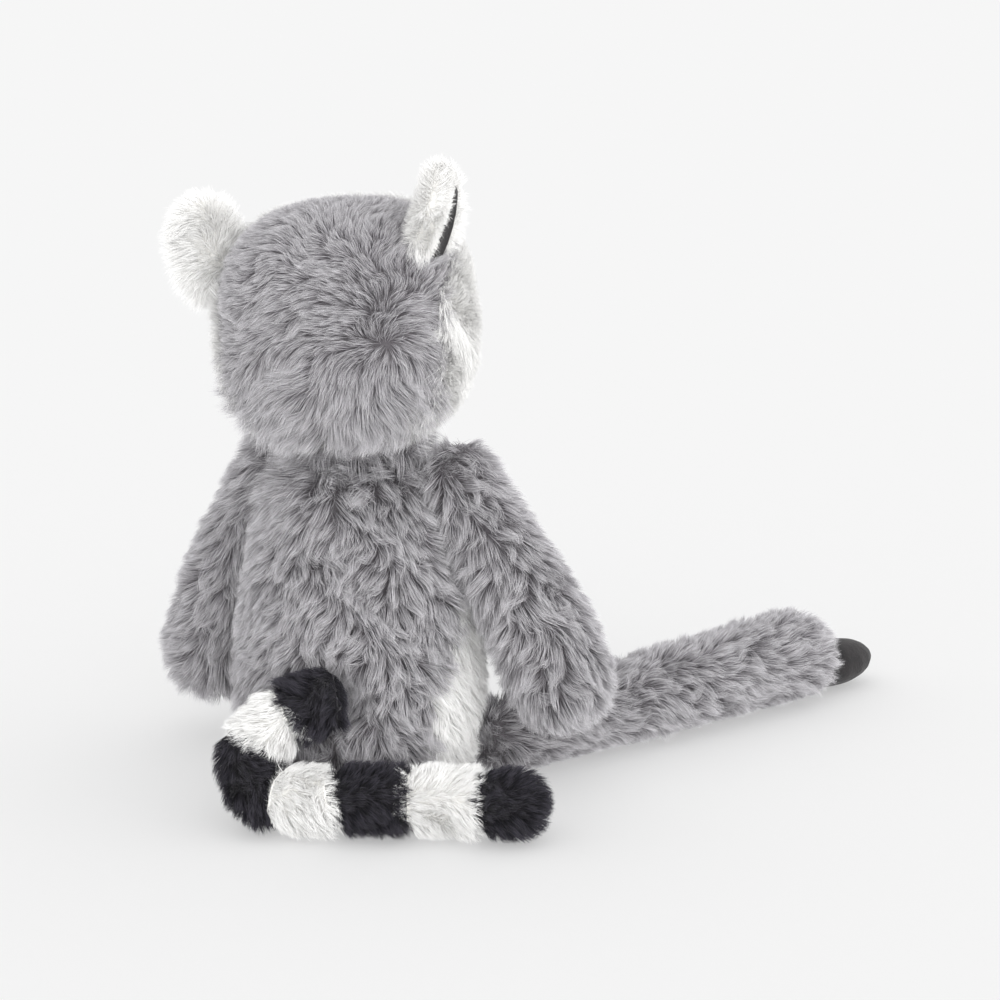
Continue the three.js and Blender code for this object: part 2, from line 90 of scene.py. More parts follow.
# ---- Materials ----
def new_material(name):
    mat = bpy.data.materials.new(name)
    mat.use_nodes = True
    nodes = mat.node_tree.nodes
    nodes.clear()
    out = nodes.new("ShaderNodeOutputMaterial")
    shader = nodes.new("ShaderNodeBsdfPrincipled")
    mat.node_tree.links.new(shader.outputs["BSDF"], out.inputs["Surface"])
    return mat, nodes, mat.node_tree.links, shader


def ramp_node(nodes, stops):
    ramp = nodes.new("ShaderNodeValToRGB")
    ramp.color_ramp.elements[0].position = stops[0][0]
    ramp.color_ramp.elements[0].color = (*stops[0][1], 1)
    ramp.color_ramp.elements[1].position = stops[-1][0]
    ramp.color_ramp.elements[1].color = (*stops[-1][1], 1)
    for place, color in stops[1:-1]:
        ramp.color_ramp.elements.new(place).color = (*color, 1)
    return ramp


def pile_material(name, stops, spread, sheen):
    """Pile whose colour runs from root to tip, with each strand a little lighter or darker."""
    mat, nodes, links, shader = new_material(name)
    uv = nodes.new("ShaderNodeUVMap")
    uv.uv_map = "OFBake"
    split = nodes.new("ShaderNodeSeparateXYZ")
    links.new(uv.outputs["UV"], split.inputs["Vector"])
    ramp = ramp_node(nodes, stops)
    links.new(split.outputs["Y"], ramp.inputs["Fac"])
    level = nodes.new("ShaderNodeMapRange")
    level.inputs["To Min"].default_value = 1 - spread
    level.inputs["To Max"].default_value = 1 + spread
    links.new(split.outputs["X"], level.inputs["Value"])
    scale = nodes.new("ShaderNodeVectorMath")
    scale.operation = "SCALE"
    links.new(ramp.outputs["Color"], scale.inputs[0])
    links.new(level.outputs["Result"], scale.inputs["Scale"])
    links.new(scale.outputs["Vector"], shader.inputs["Base Color"])
    shader.inputs["Roughness"].default_value = 0.72
    shader.inputs["Specular IOR Level"].default_value = 0.25
    shader.inputs["Sheen Weight"].default_value = sheen
    return mat


def cloth_material(name, dark, light, scale, rough, bump, tone=None):
    """Woven or velour cloth: two tones broken up by noise, with a fine nap in the bump."""
    mat, nodes, links, shader = new_material(name)
    coords = nodes.new("ShaderNodeTexCoord")
    noise = nodes.new("ShaderNodeTexNoise")
    noise.inputs["Scale"].default_value = scale
    noise.inputs["Detail"].default_value = 6
    links.new(coords.outputs["Object"], noise.inputs["Vector"])
    ramp = ramp_node(nodes, [(0.3, dark), (0.7, light)])
    links.new(noise.outputs["Fac"], ramp.inputs["Fac"])
    links.new(ramp.outputs["Color"], shader.inputs["Base Color"])
    roughness = nodes.new("ShaderNodeMapRange")
    roughness.inputs["To Min"].default_value = rough - 0.06
    roughness.inputs["To Max"].default_value = rough + 0.06
    links.new(noise.outputs["Fac"], roughness.inputs["Value"])
    links.new(roughness.outputs["Result"], shader.inputs["Roughness"])
    nap = nodes.new("ShaderNodeTexNoise")
    nap.inputs["Scale"].default_value = scale * 5
    nap.inputs["Detail"].default_value = 4
    links.new(coords.outputs["Object"], nap.inputs["Vector"])
    ripple = nodes.new("ShaderNodeBump")
    ripple.inputs["Strength"].default_value = bump
    ripple.inputs["Distance"].default_value = 0.0004
    links.new(nap.outputs["Fac"], ripple.inputs["Height"])
    links.new(ripple.outputs["Normal"], shader.inputs["Normal"])
    shader.inputs["Sheen Weight"].default_value = 0.12
    if tone is not None:
        mix = nodes.new("ShaderNodeMix")
        mix.data_type = "RGBA"
        attribute = nodes.new("ShaderNodeAttribute")
        attribute.attribute_name = "tone"
        links.new(attribute.outputs["Fac"], mix.inputs["Factor"])
        links.new(ramp.outputs["Color"], mix.inputs["A"])
        mix.inputs["B"].default_value = (*tone, 1)
        links.new(mix.outputs["Result"], shader.inputs["Base Color"])
    return mat


def glossy_material(name, dark, light, rough):
    """Polished plastic with a faint mottle and fine wear in its gloss."""
    mat, nodes, links, shader = new_material(name)
    coords = nodes.new("ShaderNodeTexCoord")
    noise = nodes.new("ShaderNodeTexNoise")
    noise.inputs["Scale"].default_value = 260
    noise.inputs["Detail"].default_value = 5
    links.new(coords.outputs["Object"], noise.inputs["Vector"])
    ramp = ramp_node(nodes, [(0.35, dark), (0.7, light)])
    links.new(noise.outputs["Fac"], ramp.inputs["Fac"])
    links.new(ramp.outputs["Color"], shader.inputs["Base Color"])
    wear = nodes.new("ShaderNodeMapRange")
    wear.inputs["To Min"].default_value = rough
    wear.inputs["To Max"].default_value = rough + 0.08
    links.new(noise.outputs["Fac"], wear.inputs["Value"])
    links.new(wear.outputs["Result"], shader.inputs["Roughness"])
    return mat


GREY_STOPS = [(0.0, (0.12, 0.108, 0.118)), (0.35, (0.28, 0.268, 0.284)), (0.75, (0.50, 0.488, 0.508)),
              (1.0, (0.80, 0.79, 0.81))]
WHITE_STOPS = [(0.0, (0.95, 0.945, 0.935)), (0.4, (0.96, 0.955, 0.945)), (1.0, (0.96, 0.957, 0.95))]
BLACK_STOPS = [(0.0, (0.006, 0.005, 0.008)), (0.6, (0.014, 0.013, 0.019)), (1.0, (0.075, 0.070, 0.088))]
MATERIALS = {
    "grey": pile_material("grey_pile", GREY_STOPS, 0.22, 0.15),
    "white": pile_material("white_pile", WHITE_STOPS, 0.06, 0.1),
    "black": pile_material("black_pile", BLACK_STOPS, 0.35, 0.1),
    "skin": cloth_material("backing_cloth", (0.10, 0.09, 0.10), (0.16, 0.15, 0.16), 90, 0.9, 0.5,
                           tone=(0.90, 0.89, 0.86)),
    "black_skin": cloth_material("black_backing", (0.008, 0.007, 0.010), (0.016, 0.014, 0.02), 90, 0.9, 0.5),
    "velour": cloth_material("black_velour", (0.006, 0.005, 0.006), (0.020, 0.017, 0.018), 220, 0.85, 0.8),
    "eye": glossy_material("eye_amber", (0.22, 0.08, 0.012), (0.42, 0.17, 0.03), 0.07),
    "pupil": glossy_material("gloss_black", (0.004, 0.003, 0.003), (0.012, 0.010, 0.010), 0.08),
}


# ---- Meshes ----
def object_from(name, verts, faces, material, smooth=True):
    mesh = bpy.data.meshes.new(name)
    mesh.from_pydata([tuple(v) for v in verts], [], [tuple(f) for f in faces])
    mesh.update()
    if smooth:
        mesh.polygons.foreach_set("use_smooth", [True] * len(mesh.polygons))
    obj = bpy.data.objects.new(name, mesh)
    bpy.context.scene.collection.objects.link(obj)
    obj.data.materials.append(material)
    return obj


def node_bvh(name):
    mesh = NODES[name].data
    corners = [v.co.copy() for v in mesh.vertices]
    return BVHTree.FromPolygons(corners, [tuple(p.vertices) for p in mesh.polygons])


def largest_part(bm):
    """Keeps the biggest connected part, so that what is sealed inside goes."""
    seen = set()
    best = []
    for vert in bm.verts:
        if vert in seen:
            continue
        stack, part = [vert], []
        seen.add(vert)
        while stack:
            v = stack.pop()
            part.append(v)
            for edge in v.link_edges:
                w = edge.other_vert(v)
                if w not in seen:
                    seen.add(w)
                    stack.append(w)
        if len(part) > len(best):
            best = part
    keep = set(best)
    bmesh.ops.delete(bm, geom=[v for v in bm.verts if v not in keep], context="VERTS")


def fused(name, nodes, voxel, smooth, material):
    """One closed skin round several CAD nodes, fused and smoothed."""
    bm = bmesh.new()
    for node in nodes:
        bm.from_mesh(NODES[node].data)
    mesh = bpy.data.meshes.new(name)
    bm.to_mesh(mesh)
    bm.free()
    obj = bpy.data.objects.new(name, mesh)
    bpy.context.scene.collection.objects.link(obj)
    remesh = obj.modifiers.new("fuse", "REMESH")
    remesh.mode = "VOXEL"
    remesh.voxel_size = voxel * MM
    soften = obj.modifiers.new("soften", "SMOOTH")
    soften.factor = 0.5
    soften.iterations = smooth
    bpy.context.view_layer.update()
    done = bpy.data.meshes.new_from_object(obj.evaluated_get(bpy.context.evaluated_depsgraph_get()))
    obj.modifiers.clear()
    obj.data = done
    bm = bmesh.new()
    bm.from_mesh(done)
    largest_part(bm)
    bmesh.ops.recalc_face_normals(bm, faces=bm.faces)
    bm.to_mesh(done)
    bm.free()
    done.materials.clear()
    done.materials.append(material)
    done.polygons.foreach_set("use_smooth", [True] * len(done.polygons))
    return obj


def arrays(obj):
    """Vertices, vertex normals and triangles of an object's mesh, in metres."""
    mesh = obj.data
    mesh.calc_loop_triangles()
    verts = np.zeros(len(mesh.vertices) * 3)
    mesh.vertices.foreach_get("co", verts)
    normals = np.array([tuple(n.vector) for n in mesh.vertex_normals])
    tris = np.zeros(len(mesh.loop_triangles) * 3, np.int64)
    mesh.loop_triangles.foreach_get("vertices", tris)
    return verts.reshape(-1, 3), normals, tris.reshape(-1, 3)


def inset(obj, depth):
    """Moves every vertex inwards by its own depth, in millimetres."""
    verts, normals, _ = arrays(obj)
    moved = verts - normals * np.asarray(depth).reshape(-1, 1) * MM
    moved[:, 2] = np.maximum(moved[:, 2], FLOOR_CLEARANCE * MM)
    obj.data.vertices.foreach_set("co", moved.ravel())
    obj.data.update()


def nearest_panel(points, names):
    """For each point, which of the CAD nodes lies nearest."""
    trees = [node_bvh(n) for n in names]
    found = np.zeros(len(points), np.int64)
    for i, p in enumerate(points):
        distances = [tree.find_nearest(Vector(p))[3] for tree in trees]
        found[i] = int(np.argmin(distances))
    return found


# ---- Pile ----
def unit(v):
    return v / np.maximum(np.linalg.norm(v, axis=-1, keepdims=True), 1e-12)


def swirl(points, seed):
    """A smooth angle over the surface that turns the combing into whorls, in radians."""
    rng = np.random.default_rng(seed)
    total = np.zeros(len(points))
    for wave, size in SWIRL_WAVES:
        direction = unit(rng.normal(size=3))
        other = unit(rng.normal(size=3))
        p = points / MM
        total += size * np.sin(p @ direction * 2 * math.pi / wave + rng.uniform(0, 6.3)
                               + 1.3 * np.sin(p @ other * 2 * math.pi / (wave * 1.4)))
    return total


def strand_curves(points, normals, comb, length, stand, droop):
    """The points of each strand's curve, (strands, steps, 3)."""
    tangent = unit(comb - normals * np.sum(comb * normals, axis=1, keepdims=True))
    start = unit(normals * (stand + 0.35)[:, None] + tangent * (1 - stand)[:, None])
    curves = []
    for t in STRAND_STEPS:
        bend = tangent * 0.42 - normals * 0.10 + np.array([0, 0, -1.0]) * droop
        curves.append(points + (start * t + bend * t * t) * length[:, None] / 1.25)
    return np.stack(curves, axis=1)


def grow(name, points, normals, comb, pile, material, body, seed, length_scale=None, droop=0.12):
    """Grows one piece of pile: tapered ribbons gathered into locks, as one mesh."""
    rng = np.random.default_rng(seed)
    count = len(points)
    clumps = max(count // pile["per_clump"], 1)
    chosen = rng.choice(count, clumps, replace=False)
    tree = kdtree.KDTree(clumps)
    for i, k in enumerate(chosen):
        tree.insert(points[k], i)
    tree.balance()
    owner = np.array([tree.find(p)[1] for p in points])
    leader = chosen[owner]
    angle = swirl(points, seed) + rng.normal(0, 0.14, count)
    angle_lead = angle[leader] + rng.normal(0, pile["ruffle"], clumps)[owner]

    def turned(n, c, a):
        side = np.cross(n, c)
        return c * np.cos(a)[:, None] + side * np.sin(a)[:, None]

    tangent = unit(comb - normals * np.sum(comb * normals, axis=1, keepdims=True))
    stand = np.clip(pile["stand"] + rng.normal(0, 0.10, count), 0.1, 0.95)
    stand_scatter = 0.28 * pile["ruffle"] + 0.04
    stand_lead = np.clip(pile["stand"] + rng.normal(0, stand_scatter, clumps), 0.1, 0.95)[owner]
    scale = np.ones(count) if length_scale is None else length_scale
    length = pile["length"] * MM * scale * rng.uniform(0.72, 1.10, count)
    length_lead = pile["length"] * MM * scale[leader] * rng.uniform(0.9, 1.15, clumps)[owner]
    own = strand_curves(points, normals, turned(normals, tangent, angle), length, stand, droop)
    lead_comb = turned(normals[leader], tangent[leader], angle_lead)
    lead = strand_curves(points[leader], normals[leader], lead_comb, length_lead, stand_lead, droop)
    pull = pile["clump"] * np.array(STRAND_STEPS) ** 1.25
    looseness = rng.uniform(0.6, 1.0, count)[:, None]
    stray = rng.random(count) < STRAY_SHARE
    looseness[stray] *= 0.25
    share = (pull[None, :] * looseness)[:, :, None]
    curves = own * (1 - share) + lead * share
    curves += rng.normal(0, STRAND_JITTER * MM, curves.shape) * np.array(STRAND_STEPS)[None, :, None]
    curves[:, :, 2] = np.maximum(curves[:, :, 2], FLOOR_CLEARANCE * MM * rng.uniform(1, 3, count)[:, None])
    along = unit(curves[:, -1] - curves[:, 0])
    side = unit(np.cross(along, rng.normal(size=(count, 3))))
    width = pile["width"] * MM * rng.uniform(0.7, 1.25, count)
    rows = []
    for k, part in enumerate(STRAND_TAPER):
        half = side * (width * part * 0.5)[:, None]
        rows += [curves[:, k] - half, curves[:, k] + half]
    rows.append(curves[:, 3])
    verts = np.stack(rows, axis=1)
    shade = rng.random(count)
    pieces = math.ceil(count / MOST_STRANDS)
    for k in range(pieces):
        label = name if pieces == 1 else f"{name}_{k + 1}"
        fur = strand_mesh(label, verts[k::pieces], shade[k::pieces], material, body)


def strand_mesh(name, verts, shade, material, body):
    """One mesh of strands, seven corners each. Its UV holds the strand's shade and the place along it."""
    count = len(verts)
    corners = np.array([0, 1, 3, 2, 2, 3, 5, 4, 4, 5, 6])
    starts = np.array([0, 4, 8])
    sizes = np.array([4, 4, 3])
    heights = np.array([0, 0, STRAND_STEPS[1], STRAND_STEPS[1], STRAND_STEPS[2], STRAND_STEPS[2], 1.0])
    mesh = bpy.data.meshes.new(name)
    mesh.vertices.add(count * 7)
    mesh.vertices.foreach_set("co", verts.reshape(-1))
    loops = (corners[None, :] + 7 * np.arange(count)[:, None]).reshape(-1)
    mesh.loops.add(len(loops))
    mesh.loops.foreach_set("vertex_index", loops.astype(np.int32))
    mesh.polygons.add(count * 3)
    mesh.polygons.foreach_set("loop_start", (starts[None, :] + 11 * np.arange(count)[:, None]).reshape(-1))
    mesh.polygons.foreach_set("loop_total", np.tile(sizes, count))
    mesh.update(calc_edges=True)
    mesh.polygons.foreach_set("use_smooth", np.ones(count * 3, bool))
    layer = mesh.uv_layers.new(name="OFBake")
    u = np.repeat(np.clip(shade, 0.02, 0.98), 11)
    v = np.tile(np.clip(heights[corners], 0.02, 0.98), count)
    layer.data.foreach_set("uv", np.stack([u, v], axis=1).ravel())
    mesh.materials.append(material)
    obj = bpy.data.objects.new(name, mesh)
    bpy.context.scene.collection.objects.link(obj)
    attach(obj, body)
    return obj


def roots_on(obj, density, seed, face_mask=None):
    """Random roots spread evenly over a skin: their places, normals and triangles."""
    rng = np.random.default_rng(seed)
    verts, normals, tris = arrays(obj)
    a, b, c = verts[tris[:, 0]], verts[tris[:, 1]], verts[tris[:, 2]]
    area = np.linalg.norm(np.cross(b - a, c - a), axis=1) / 2
    if face_mask is not None:
        area = area * face_mask
    count = int(area.sum() / MM ** 2 * density * (1))
    picked = rng.choice(len(tris), count, p=area / area.sum())
    r1, r2 = np.sqrt(rng.random(count)), rng.random(count)
    weights = np.stack([1 - r1, r1 * (1 - r2), r1 * r2], axis=1)[:, :, None]
    points = np.sum(verts[tris[picked]] * weights, axis=1)
    directions = unit(np.sum(normals[tris[picked]] * weights, axis=1))
    return points, directions, picked


def panel_mask(obj, panels, wanted):
    _, _, tris = arrays(obj)
    return (panels[tris[:, 0]] == wanted).astype(float)


# ---- Where things are, from the frame ----
def centre(node):
    low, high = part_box(node)
    return np.array((low + high) / 2)


def joint_axis(name):
    for joint in frame["record"]["behaviour"]["joints"]:
        if joint["name"] == name:
            return unit(np.array(joint["axis"], float))
    raise KeyError(name)


def joint_at(name):
    for joint in frame["record"]["behaviour"]["joints"]:
        if joint["name"] == name:
            return np.array(joint["pos_m"])
    raise KeyError(name)


def set_tone(obj, values):
    tone = obj.data.attributes.new("tone", "FLOAT", "POINT")
    tone.data.foreach_set("value", np.asarray(values, np.float32))


# ---- Torso ----
def build_torso():
    names = ["back_panel", "belly_panel", "seat_panel"]
    skin = fused("torso_skin", names + ["torso_stuffing", "seat_pellet_bag"], 2.6, 8, MATERIALS["skin"])
    verts, _, _ = arrays(skin)
    panels = nearest_panel(verts, names)
    low = np.clip(verts[:, 2] / (12 * MM), 0, 1)
    inset(skin, 0.5 + 4.0 * low)
    set_tone(skin, panels == 1)
    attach(skin, "torso")
    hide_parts(*names, "torso_stuffing", "seat_pellet_bag")
    for index, (label, kind) in enumerate((("back", "grey"), ("belly", "white"))):
        mask = panel_mask(skin, panels, index)
        points, normals, _ = roots_on(skin, PILE[kind]["density"], 11 + index, mask)
        comb = np.tile([0.0, 0.0, -1.0], (len(points), 1)) + normals * np.array([0.6, 0.6, 0])
        high = np.clip((points[:, 2] - 112 * MM) / (20 * MM), 0, 1)
        comb += normals * 1.5 * high[:, None]
        short = np.clip(points[:, 2] / (14 * MM), 0.35, 1.0) + 0.6 * high
        grow(f"{label}_pile", points, normals, comb, PILE[kind], MATERIALS[kind], "torso",
             21 + index, short)


# ---- Head ----
def build_head():
    shell = ["head_left_panel", "head_right_panel", "face_panel"]
    trim = ["muzzle_panel", "eye_patch_left", "eye_patch_right"]
    skin = fused("head_skin", shell + trim + ["head_stuffing"], 2.2, 4, MATERIALS["skin"])
    verts, _, _ = arrays(skin)
    panels = nearest_panel(verts, shell + trim)
    depth = np.where(panels >= 3, 1.2, np.where(panels == 2, 3.0, 4.5))
    inset(skin, depth)
    square_up(skin, centre("head_stuffing"))
    set_tone(skin, (panels == 2) | (panels == 3))
    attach(skin, "head")
    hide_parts(*shell, *trim, "head_stuffing")
    head = centre("head_stuffing")
    nose = centre("nose")
    crown = head + np.array([0.004, 0.012, 0.045])
    whorl = head + np.array([-0.036, 0.034, -0.004])
    eyes = [centre("eye_left"), centre("eye_right")]
    kinds = ["head", "head", "face", "muzzle", "patch", "patch"]
    tints = ["grey", "grey", "white", "white", "black", "black"]
    labels = ["head_left", "head_right", "face", "muzzle", "eye_patch_left", "eye_patch_right"]
    for index, kind in enumerate(kinds):
        pile = PILE[kind]
        points, normals, _ = roots_on(skin, pile["density"], 31 + index, panel_mask(skin, panels, index))
        clear = np.ones(len(points), bool)
        for eye in eyes:
            out = unit(eye - head)
            offset = points - eye
            sideways = offset - (offset @ out)[:, None] * out
            clear &= ~((np.linalg.norm(sideways, axis=1) < EYE_CLEARING * MM) & (offset @ out > -12 * MM))
        clear &= np.linalg.norm(points - nose, axis=1) > NOSE_CLEARING * MM
        points, normals = points[clear], normals[clear]
        if index < 2:
            comb = unit(points - whorl) + 0.35 * unit(points - crown) + np.array([0, 0, -0.25])
        else:
            comb = unit(points - nose)
        scale = np.ones(len(points))
        if kind == "head":
            low = np.clip((head[2] - 0.006 - points[:, 2]) / (24 * MM), 0, 1)
            scale = 0.9 + 0.85 * low
        if kind == "face":
            scale = 0.6 + 0.9 * np.clip(np.linalg.norm(points - nose, axis=1) / (60 * MM) - 0.35, 0, 1)
        grow(f"{labels[index]}_pile", points, normals, comb, pile,
             MATERIALS[tints[index]], "head", 41 + index, scale)
    build_eyes(head)
    build_nose(head)


def square_up(skin, middle):
    """Fills out the head's corners, so that it is boxy rather than round. The muzzle is left as it is."""
    across = joint_axis("head_nod")
    upward = unit(np.array([0, 0, 1.0]) - across * across[2])
    frontal = np.cross(upward, across)
    verts, _, _ = arrays(skin)
    offset = verts - middle
    distance = np.linalg.norm(offset, axis=1, keepdims=True)
    local = np.abs(np.stack([offset @ across, offset @ frontal, offset @ upward], axis=1) / distance)
    fuller = (local ** HEAD_POWER).sum(axis=1, keepdims=True) ** (-1 / HEAD_POWER)
    share = np.clip((offset @ frontal)[:, None] / (30 * MM) + 1.2, 0, 1)
    moved = middle + offset * (1 + (fuller - 1) * share)
    skin.data.vertices.foreach_set("co", moved.ravel())
    skin.data.update()


def lathe(name, steps, place, direction, material, around=40):
    """A turned shape about a direction, from (radius, height) steps in millimetres."""
    verts, faces = [], []
    spin = Vector((0, 0, 1)).rotation_difference(Vector(direction))
    for radius, height in steps:
        for k in range(around):
            angle = 2 * math.pi * k / around
            local = Vector((radius * math.cos(angle), radius * math.sin(angle), height)) * MM
            verts.append(Vector(place) + spin @ local)
    for row in range(len(steps) - 1):
        low, high = row * around, (row + 1) * around
        for k in range(around):
            n = (k + 1) % around
            faces.append((low + k, low + n, high + n, high + k))
    faces.append(tuple(range(around))[::-1])
    faces.append(tuple((len(steps) - 1) * around + k for k in range(around)))
    return object_from(name, verts, faces, material)


def build_eyes(head):
    for side in ("left", "right"):
        eye = centre(f"eye_{side}")
        out = unit(eye - head)
        low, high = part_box(f"eye_{side}")
        reach = max(float(np.dot(np.array(corner) - head, out)) for corner in (
            (low.x, low.y, low.z), (high.x, low.y, low.z), (low.x, low.y, high.z), (high.x, low.y, high.z)))
        base = head + out * (reach - 9.0 * MM)
        iris = [(5.2, 0.0), (5.5, 1.2)] + [
            (5.5 * math.cos(a), 1.2 + 4.4 * math.sin(a)) for a in np.linspace(0.12, 1.12, 9)]
        pupil = [(3.1, 4.6), (3.05, 5.05)] + [
            (3.05 * math.cos(a), 5.05 + 0.95 * math.sin(a)) for a in np.linspace(0.2, 1.5, 7)]
        dome = lathe(f"eye_{side}_dome", iris, base, out, MATERIALS["eye"])
        black = lathe(f"eye_{side}_pupil", pupil, base, out, MATERIALS["pupil"])
        for piece in (dome, black):
            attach(piece, "head")
        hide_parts(f"eye_{side}", f"eye_washer_{side}")


def build_nose(head):
    """A soft triangular nose, wide at the top, with two nostril dents."""
    place = centre("nose")
    out = unit(place - centre("muzzle_panel"))
    out[2] = 0.05
    out = unit(out)
    right = unit(np.cross(out, [0, 0, 1.0]))
    up = np.cross(right, out)
    bm = bmesh.new()
    bmesh.ops.create_icosphere(bm, subdivisions=5, radius=1.0)
    for v in bm.verts:
        x, y, z = v.co
        wide = 5.6 * (1 + 0.28 * z)
        deep = 4.2 * (1 - 0.15 * max(-z, 0))
        dent = 0
        if y < 0:
            dent = sum(math.exp(-((x - s * 0.42) ** 2 + (z + 0.22) ** 2) / 0.035) for s in (-1, 1))
        push = right * x * wide + up * z * 4.0 + out * (-y) * (deep - 1.1 * dent)
        v.co = Vector(place + push * MM)
    mesh = bpy.data.meshes.new("nose_tip")
    bm.to_mesh(mesh)
    bm.free()
    obj = bpy.data.objects.new("nose_tip", mesh)
    bpy.context.scene.collection.objects.link(obj)
    mesh.materials.append(MATERIALS["pupil"])
    mesh.polygons.foreach_set("use_smooth", [True] * len(mesh.polygons))
    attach(obj, "head")
    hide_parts("nose")


def leaf_front(node):
    """The directions a leaf-shaped node is thinnest and longest in."""
    verts = np.array([tuple(v.co) for v in NODES[node].data.vertices])
    _, _, rows = np.linalg.svd(verts - verts.mean(axis=0), full_matrices=False)
    return rows[2], rows[0]


def rolled(points, node, middle, front):
    """Where points of an ear go when its two long edges roll forward round its length, into a cup."""
    thin, long = leaf_front(node)
    forward = thin * np.sign(thin @ front)
    across = unit(np.cross(long, forward))
    offset = points - middle
    wide, deep, tall = offset @ across, offset @ forward, offset @ long
    angle = wide / (EAR_CURL_RADIUS * MM)
    radius = EAR_CURL_RADIUS * MM - deep
    return (middle + np.outer(radius * np.sin(angle), across)
            + np.outer(EAR_CURL_RADIUS * MM - radius * np.cos(angle), forward) + np.outer(tall, long))


def curl(obj, middle, front):
    """Rolls an ear's skin or lining round the ear's own leaf."""
    node = obj.name.replace("_skin", "_back").replace("_velour", "_back")
    verts, _, _ = arrays(obj)
    obj.data.vertices.foreach_set("co", rolled(verts, node, middle, front).ravel())
    obj.data.update()


def surface_bvh(obj):
    """A search tree over an object's mesh as it is now, after shaping."""
    verts, _, tris = arrays(obj)
    return BVHTree.FromPolygons([Vector(v) for v in verts], tris.tolist())


def build_ear(side, seed):
    """A cupped leaf with a velour lining. The pile is short where the leaf faces the lining."""
    node = f"ear_{side}_back"
    lining_node = f"ear_{side}_lining"
    body = f"ear_{side}"
    skin = fused(f"ear_{side}_skin", [node], 1.2, 4, MATERIALS["skin"])
    verts, normals, _ = arrays(skin)
    thin, _ = leaf_front(node)
    front = thin * np.sign(thin @ (centre(lining_node) - centre(node)))
    inset(skin, np.where(normals @ front > 0.4, 0.0, 1.5))
    points, directions, _ = roots_on(skin, PILE["ear"]["density"], seed)
    lining_tree = node_bvh(lining_node)
    to_lining = np.array([lining_tree.find_nearest(Vector(p))[3] for p in points])
    clear = (to_lining > EAR_LINING_MARGIN * MM) | (directions @ front < 0.2)
    points = points[clear]
    shorter = np.interp(directions[clear] @ front, [-0.4, 0.4], [1.0, 0.3])
    curl(skin, centre(node), front)
    set_tone(skin, np.ones(len(verts)))
    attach(skin, body)
    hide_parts(node)
    lining = fused(f"ear_{side}_velour", [lining_node], 0.6, 3, MATERIALS["velour"])
    curl(lining, centre(node), front)
    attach(lining, body)
    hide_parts(lining_node)
    base = joint_at(f"ear_{side}_fold")
    points = rolled(points, node, centre(node), front)
    tree = surface_bvh(skin)
    normals = np.array([tuple(tree.find_nearest(Vector(p))[1]) for p in points])
    comb = unit(points - base)
    grow(f"ear_{side}_pile", points, normals, comb, PILE["ear"], MATERIALS["white"], body,
         seed + 1, shorter, droop=0.18)


# ---- Limbs ----
def build_limb(kind, side, seed):
    """An arm or leg with its velour palm or foot, combed from the joint to the end."""
    body = f"{kind}_{side}"
    sleeve, filling = f"{body}_sleeve", f"{body}_stuffing"
    skin = fused(f"{body}_skin", [sleeve, filling], 2.0, 5, MATERIALS["skin"])
    verts, _, _ = arrays(skin)
    low = np.clip(verts[:, 2] / (10 * MM), 0, 1)
    inset(skin, 1.0 + 3.5 * low)
    set_tone(skin, np.zeros(len(verts)))
    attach(skin, body)
    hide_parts(sleeve, filling)
    pad_node = f"palm_{side}" if kind == "arm" else f"foot_{side}"
    pad = fused(f"{pad_node}_velour", [pad_node], 0.9, 3, MATERIALS["velour"])
    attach(pad, body)
    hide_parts(pad_node)
    joint = joint_at(f"{'shoulder' if kind == 'arm' else 'hip'}_{side}")
    pad_at = centre(pad_node)
    points, normals, _ = roots_on(skin, PILE["grey"]["density"], seed)
    if kind == "arm":
        far = np.linalg.norm(points - pad_at, axis=1) > 10 * MM
        points, normals = points[far], normals[far]
        end = centre(sleeve) * 2 - joint
    else:
        end = pad_at
    comb = np.tile(unit(end - joint), (len(points), 1)) + normals * 0.2
    short = np.clip(points[:, 2] / (12 * MM), 0.4, 1.0)
    if kind == "arm":
        top = np.clip(1 - np.linalg.norm(points - joint, axis=1) / (34 * MM), 0, 1)[:, None]
        comb = comb * (1 - top) + unit(points - joint) * top * 1.6 - np.array([0, 0, 0.8]) * top
    grow(f"{body}_pile", points, normals, comb, PILE["grey"], MATERIALS["grey"], body,
         seed + 1, short)


# ---- Tail ----
def build_tail():
    """Seven rings, black and white by turns, each skin drawn out along the tail under its pile."""
    bodies = ["tail_base"] * 3 + ["tail_4", "tail_5", "tail_6", "tail_7"]
    centres = [centre(f"tail_ring_{i}") for i in range(1, 8)]
    for i in range(7):
        ring, core = f"tail_ring_{i + 1}", f"tail_stuffing_{i + 1}"
        tint = "black" if i % 2 == 0 else "white"
        backing = MATERIALS["black_skin"] if tint == "black" else MATERIALS["skin"]
        skin = fused(f"{ring}_skin", [ring, core], 1.6, 4, backing)
        verts, _, _ = arrays(skin)
        inset(skin, np.full(len(verts), 3.0))
        before, after = centres[max(i - 1, 0)], centres[min(i + 1, 6)]
        comb = unit(after - before)
        verts, _, _ = arrays(skin)
        reach = (verts - centres[i]) @ comb
        grown = np.clip(reach / (8 * MM), -1, 1)[:, None] * comb * TAIL_END_REACH * MM
        skin.data.vertices.foreach_set("co", (verts + grown).ravel())
        skin.data.update()
        set_tone(skin, np.ones(len(verts)))
        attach(skin, bodies[i])
        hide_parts(ring, core)
        pile = PILE[f"tail_{tint}"]
        points, normals, _ = roots_on(skin, pile["density"], 71 + i)
        lie = np.tile(comb, (len(points), 1)) + normals * 0.2
        grow(f"{ring}_pile", points, normals, lie, pile, MATERIALS[tint], bodies[i], 81 + i)


